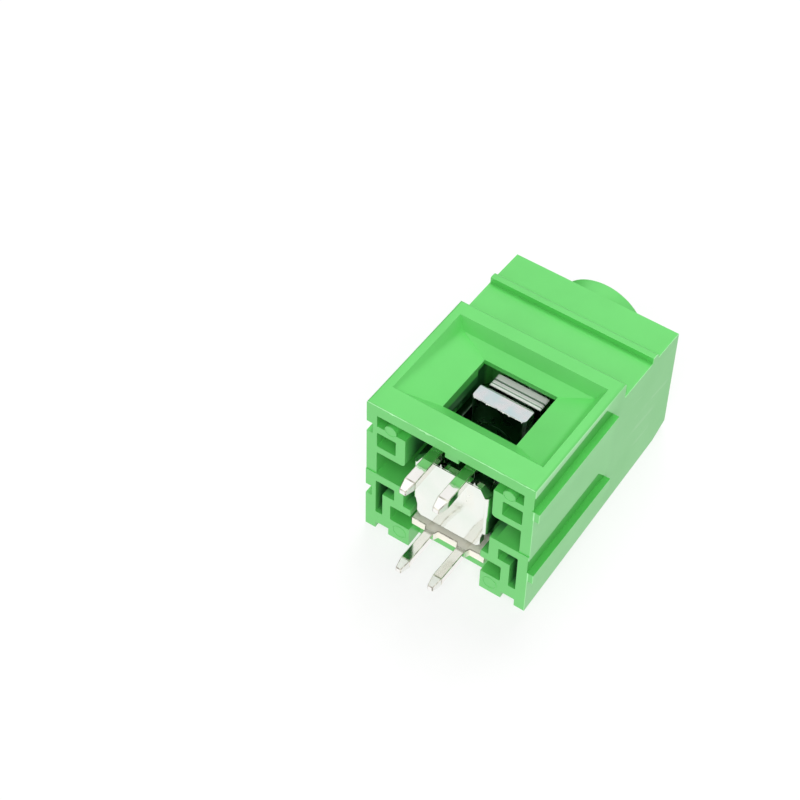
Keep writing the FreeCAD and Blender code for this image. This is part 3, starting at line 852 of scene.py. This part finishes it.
def thread_tree():
    """A ridge that climbs round a shank as a helix."""
    tree = bpy.data.node_groups.new("screw_thread", "GeometryNodeTree")
    for name in ("Root Radius", "Depth", "Pitch", "Length"):
        tree.interface.new_socket(name=name, in_out="INPUT", socket_type="NodeSocketFloat")
    tree.interface.new_socket(name="Start", in_out="INPUT", socket_type="NodeSocketVector")
    tree.interface.new_socket(name="Material", in_out="INPUT", socket_type="NodeSocketMaterial")
    tree.interface.new_socket(name="Geometry", in_out="OUTPUT", socket_type="NodeSocketGeometry")
    entry = tree.nodes.new("NodeGroupInput").outputs
    ridge = tree.nodes.new("GeometryNodeCurveToMesh")
    plug(tree, ridge.inputs["Curve"], thread_path(tree, entry))
    plug(tree, ridge.inputs["Profile Curve"], thread_profile(tree, entry))
    plug(tree, ridge.inputs["Fill Caps"], True)
    placed = onward(tree, "GeometryNodeTransform", ridge.outputs["Mesh"], Translation=entry["Start"])
    whole = onward(tree, "GeometryNodeRealizeInstances", placed)
    painted = onward(tree, "GeometryNodeSetMaterial", whole, Material=entry["Material"])
    end = tree.nodes.new("NodeGroupOutput")
    plug(tree, end.inputs["Geometry"], painted)
    return tree


def thread_ridge(material):
    """The thread of the clamp screw, as a plain mesh."""
    holder = bpy.data.objects.new("thread_holder", bpy.data.meshes.new("thread_holder"))
    bpy.context.scene.collection.objects.link(holder)
    modifier = holder.modifiers.new("screw_thread", "NODES")
    modifier.node_group = thread_tree()
    values = {
        "Root Radius": THREAD_ROOT * MM,
        "Depth": (THREAD_RADIUS - THREAD_ROOT) * MM,
        "Pitch": THREAD_PITCH * MM,
        "Length": (SHANK_END - SHANK_START - 2 * THREAD_RUN_OUT) * MM,
        "Start": (0.0, SCREW_PLACE * MM, (SHANK_START + THREAD_RUN_OUT) * MM),
        "Material": material,
    }
    for name, value in values.items():
        set_input(modifier, name, value)
    mesh = bpy.data.meshes.new_from_object(holder.evaluated_get(bpy.context.evaluated_depsgraph_get()))
    bpy.data.objects.remove(holder)
    for face in mesh.polygons:
        face.use_smooth = False
    piece = piece_of_mesh(mesh, "screw_thread", [material])
    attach(piece, "screw")


# Stage, light and camera

def floor_material():
    """White to the camera from its front, with a soft shadow, and nothing to any other ray."""
    material, tree, shader = new_material("floor_white")
    output = tree.nodes["Material Output"]
    tree.nodes.remove(shader)
    matte = add_node(tree, "ShaderNodeBsdfDiffuse", Color=WHITE)
    glow = add_node(tree, "ShaderNodeEmission", Color=WHITE)
    lifted = add_node(tree, "ShaderNodeMixShader", Fac=FLOOR_GLOW)
    tree.links.new(matte.outputs[0], lifted.inputs[1])
    tree.links.new(glow.outputs[0], lifted.inputs[2])
    rays = add_node(tree, "ShaderNodeLightPath")
    side = add_node(tree, "ShaderNodeNewGeometry")
    front = outside_of(tree, side.outputs["Backfacing"])
    clear = add_node(tree, "ShaderNodeBsdfTransparent")
    mixed = add_node(tree, "ShaderNodeMixShader")
    plug(tree, mixed.inputs["Fac"], times(tree, rays.outputs["Is Camera Ray"], front))
    tree.links.new(clear.outputs[0], mixed.inputs[1])
    tree.links.new(lifted.outputs[0], mixed.inputs[2])
    tree.links.new(mixed.outputs[0], output.inputs["Surface"])
    return material


def floor():
    """The block lies on its back, so the floor is the plane of its back face."""
    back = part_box("housing")[1].y / MM + FLOOR_GAP
    mesh = bpy.data.meshes.new("floor")
    corners = []
    for across, rise in ((-1, -1), (1, -1), (1, 1), (-1, 1)):
        height = rise * FLOOR_REACH
        corners.append(Vector((across * FLOOR_REACH, back - BACK_LEAN / BACK_HEIGHT * height, height)) * MM)
    mesh.from_pydata(corners, [], [(0, 1, 2, 3)])
    if mesh.polygons[0].normal.y > 0:
        mesh.flip_normals()
    piece_of_mesh(mesh, "floor", [floor_material()])


def soft_lamp(name, place, size, level):
    """A square lamp that metal does not mirror. Its level is how bright a white face turned to it gets."""
    place = Vector(place)
    data = bpy.data.lights.new(name, "AREA")
    data.shape = "SQUARE"
    data.size = size
    data.energy = level * (math.pi * place.length) ** 2
    lamp = bpy.data.objects.new(name, data)
    lamp.location = place
    lamp.visible_glossy = False
    lamp.rotation_euler = (-place).to_track_quat("-Z", "Y").to_euler()
    bpy.context.scene.collection.objects.link(lamp)


def towards(tree, way, direction):
    """How nearly a way points in a direction."""
    node = add_node(tree, "ShaderNodeVectorMath", operation="DOT_PRODUCT")
    plug(tree, node.inputs[0], way)
    plug(tree, node.inputs[1], direction)
    return node.outputs["Value"]


def surroundings():
    """White to the camera. Gloss and metal see a white studio with one dark flag in it, and matte faces get
    a soft room light and the glow of the white table."""
    world = bpy.data.worlds.new("studio")
    bpy.context.scene.world = world
    world.use_nodes = True
    tree = world.node_tree
    way = tree.nodes.new("ShaderNodeTexCoord").outputs["Generated"]
    table = times(tree, TABLE_LEVEL, larger(tree, towards(tree, way, TABLE_WAY), 0.0))
    soft = plus(tree, ROOM_LEVEL, table)
    mirrored = ramp(tree, towards(tree, way, DARK_WAY), *DARK_REACH, DARK_LEVEL, 1.0)
    rays = add_node(tree, "ShaderNodeLightPath")
    shiny = larger(tree, rays.outputs["Is Glossy Ray"], rays.outputs["Is Transmission Ray"])
    level = between(tree, rays.outputs["Is Camera Ray"], between(tree, shiny, soft, mirrored), 1.0)
    plug(tree, tree.nodes["Background"].inputs["Color"], WHITE)
    plug(tree, tree.nodes["Background"].inputs["Strength"], level)


def camera():
    data = bpy.data.cameras.new("camera")
    data.sensor_width = SENSOR_WIDTH
    data.sensor_fit = "HORIZONTAL"
    data.lens = FOCAL_PIXELS / PICTURE_PIXELS * SENSOR_WIDTH
    data.clip_start = CLIP_START
    eye = bpy.data.objects.new("camera", data)
    forward = CAMERA_FORWARD.normalized()
    right = forward.cross(CAMERA_UP).normalized()
    up = right.cross(forward)
    turn = Matrix((right, up, -forward)).transposed().to_4x4()
    eye.matrix_world = Matrix.Translation(CAMERA_PLACE) @ turn
    bpy.context.scene.collection.objects.link(eye)
    bpy.context.scene.camera = eye


def studio():
    floor()
    for name, place, size, level in LAMPS:
        soft_lamp(name, place, size, level)
    surroundings()
    camera()
    bpy.context.scene.view_settings.view_transform = "Standard"


def terminal_block():
    finish = uneven_finish_group()
    marks = rub_marks_group()
    # Painted highlight: the moulding's rounded edges get a paler green
    edges = housing_edge_highlight_material(finish)
    moulding = [housing_material(finish, marks), edges, polished_material(finish)]
    # Painted shade: the pins' rounded edges get a dark metal as outlines
    pin_edge_shade = plain_metal("tin_edge_shade", finish, (TIN_EDGE_SHADE, TIN_DULL), roughness=0.35, metallic=1.0)
    tin = [tin_material(finish, marks), pin_edge_shade]
    cream = cage_material(finish, marks)
    zinc = zinc_material("screw_zinc", finish, marks, is_plate=False)
    plate_zinc = zinc_material("plate_zinc", finish, marks, is_plate=True)
    burr = plain_metal("burr_metal", finish, (BURR, CREAM), roughness=0.35, metallic=0.7)
    dress_node("housing", "moulded_housing", moulding, HOUSING_EDGE, HOUSING_CREASE, polish_rib_flanks)
    dress_node("contact", "folded_contact", tin, PIN_EDGE, METAL_CREASE)
    dress_node("clamp_cage", "folded_cage", [cream], METAL_EDGE, METAL_CREASE, trim_sole_ears)
    dress_node("pressure_plate", "wire_plate", [plate_zinc], METAL_EDGE, METAL_CREASE)
    dress_node("clamp_screw", "slotted_screw", [zinc], METAL_EDGE, HOUSING_CREASE, neck_down_shank)
    thread_ridge(zinc)
    ejector_marks(moulding[0])
    fins(edges, burr)


clear_startup_scene()
terminal_block()
studio()
